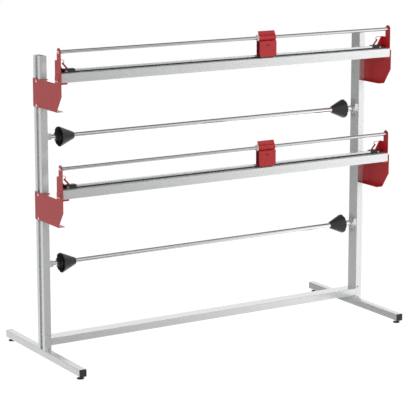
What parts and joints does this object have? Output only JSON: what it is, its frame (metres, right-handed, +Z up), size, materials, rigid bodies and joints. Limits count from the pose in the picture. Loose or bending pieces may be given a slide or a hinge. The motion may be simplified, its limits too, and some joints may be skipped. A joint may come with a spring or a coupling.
{
  "type": "roll cutting stand",
  "caption": "Floor stand for film or fabric rolls: slotted posts on T-feet, knife rails with sliding carriages, hold-down bars and roll axles with cones.",
  "frame": {"origin": "on the floor, midway between the posts and midway along the feet", "axes": "+X to the right along the rails, +Y to the rear, +Z up; the knife rails are on the front, -Y"},
  "size_m": [2.125, 0.89, 1.7375],
  "materials": {
    "aluminium": "satin anodised extrusion",
    "silver_paint": "silver powder coat",
    "red_paint": "red powder coat, slightly textured",
    "carriage_red": "red powder coat",
    "polished_steel": "ground and polished bar",
    "zinc_steel": "bright zinc plate",
    "blade_steel": "ground blade",
    "black_rubber": "matt black",
    "black_plastic": "matt black moulding",
    "black_steel": "black oxide",
    "screw_red": "dark red lacquer",
    "white_nylon": "natural nylon"
  },
  "bodies": {
    "frame": {"left_foot": "silver_paint", "right_foot": "silver_paint", "foot_end_caps": "black_plastic", "left_post": "aluminium", "right_post": "aluminium", "crossbar": "aluminium", "crossbar_bolts": "zinc_steel", "m8_screws": "zinc_steel", "m6_screws": "zinc_steel", "slot_nuts": "zinc_steel", "axle_cradles": "zinc_steel", "upper_left_bracket": "red_paint", "upper_right_bracket": "red_paint", "lower_left_bracket": "red_paint", "lower_right_bracket": "red_paint", "upper_left_tower": "red_paint", "upper_right_tower": "red_paint", "lower_left_tower": "red_paint", "lower_right_tower": "red_paint", "upper_rail": "aluminium", "lower_rail": "aluminium", "upper_guide_rod": "polished_steel", "lower_guide_rod": "polished_steel"},
    "upper_hold_down": {"upper_hold_bar": "aluminium", "upper_hold_lip": "black_rubber", "upper_hold_blocks": "black_plastic", "upper_hold_screws": "zinc_steel"},
    "lower_hold_down": {"lower_hold_bar": "aluminium", "lower_hold_lip": "black_rubber", "lower_hold_blocks": "black_plastic", "lower_hold_screws": "zinc_steel"},
    "upper_carriage": {"upper_carriage_hook": "carriage_red", "upper_carriage_plate": "carriage_red", "upper_carriage_holder": "black_plastic", "upper_carriage_bush": "white_nylon", "upper_carriage_blade": "blade_steel", "upper_carriage_screw": "screw_red"},
    "lower_carriage": {"lower_carriage_hook": "carriage_red", "lower_carriage_plate": "carriage_red", "lower_carriage_holder": "black_plastic", "lower_carriage_bush": "white_nylon", "lower_carriage_blade": "blade_steel", "lower_carriage_screw": "screw_red"},
    "upper_axle_ends": {"upper_axle_bushes": "white_nylon"},
    "upper_axle": {"upper_axle": "polished_steel"},
    "upper_left_cone": {"upper_left_cone": "black_plastic", "upper_left_cone_screw": "black_steel"},
    "upper_right_cone": {"upper_right_cone": "black_plastic", "upper_right_cone_screw": "black_steel"},
    "lower_axle_ends": {"lower_axle_bushes": "white_nylon"},
    "lower_axle": {"lower_axle": "polished_steel"},
    "lower_left_cone": {"lower_left_cone": "black_plastic", "lower_left_cone_screw": "black_steel"},
    "lower_right_cone": {"lower_right_cone": "black_plastic", "lower_right_cone_screw": "black_steel"},
    "left_front_levelling_foot": {"left_front_levelling_foot": "black_plastic"},
    "left_rear_levelling_foot": {"left_rear_levelling_foot": "black_plastic"},
    "right_front_levelling_foot": {"right_front_levelling_foot": "black_plastic"},
    "right_rear_levelling_foot": {"right_rear_levelling_foot": "black_plastic"}
  },
  "joints": [
    {"name": "upper_hold_down_lift", "type": "slide", "parent": "frame", "child": "upper_hold_down", "axis": [0, 0, 1], "range_m": [0, 0.005]},
    {"name": "lower_hold_down_lift", "type": "slide", "parent": "frame", "child": "lower_hold_down", "axis": [0, 0, 1], "range_m": [0, 0.005]},
    {"name": "upper_carriage_slide", "type": "slide", "parent": "frame", "child": "upper_carriage", "axis": [1, 0, 0], "range_m": [-1.114, 0.682]},
    {"name": "lower_carriage_slide", "type": "slide", "parent": "frame", "child": "lower_carriage", "axis": [1, 0, 0], "range_m": [-1.114, 0.682]},
    {"name": "upper_axle_lift_out", "type": "slide", "parent": "frame", "child": "upper_axle_ends", "axis": [0, 0, 1], "range_m": [0, 0.045]},
    {"name": "upper_axle_spin", "type": "hinge", "parent": "upper_axle_ends", "child": "upper_axle", "pos_m": [0, 0, 1.214], "axis": [1, 0, 0], "continuous": true},
    {"name": "upper_left_cone_slide", "type": "slide", "parent": "upper_axle", "child": "upper_left_cone", "axis": [1, 0, 0], "range_m": [-0.02, 0.6]},
    {"name": "upper_right_cone_slide", "type": "slide", "parent": "upper_axle", "child": "upper_right_cone", "axis": [-1, 0, 0], "range_m": [-0.02, 0.6]},
    {"name": "lower_axle_lift_out", "type": "slide", "parent": "frame", "child": "lower_axle_ends", "axis": [0, 0, 1], "range_m": [0, 0.045]},
    {"name": "lower_axle_spin", "type": "hinge", "parent": "lower_axle_ends", "child": "lower_axle", "pos_m": [0, 0, 0.523], "axis": [1, 0, 0], "continuous": true},
    {"name": "lower_left_cone_slide", "type": "slide", "parent": "lower_axle", "child": "lower_left_cone", "axis": [1, 0, 0], "range_m": [-0.02, 0.6]},
    {"name": "lower_right_cone_slide", "type": "slide", "parent": "lower_axle", "child": "lower_right_cone", "axis": [-1, 0, 0], "range_m": [-0.02, 0.6]},
    {"name": "left_front_levelling_foot_screw_out", "type": "slide", "parent": "frame", "child": "left_front_levelling_foot", "axis": [0, 0, -1], "range_m": [-0.003, 0.012]},
    {"name": "left_rear_levelling_foot_screw_out", "type": "slide", "parent": "frame", "child": "left_rear_levelling_foot", "axis": [0, 0, -1], "range_m": [-0.003, 0.012]},
    {"name": "right_front_levelling_foot_screw_out", "type": "slide", "parent": "frame", "child": "right_front_levelling_foot", "axis": [0, 0, -1], "range_m": [-0.003, 0.012]},
    {"name": "right_rear_levelling_foot_screw_out", "type": "slide", "parent": "frame", "child": "right_rear_levelling_foot", "axis": [0, 0, -1], "range_m": [-0.003, 0.012]}
  ]
}
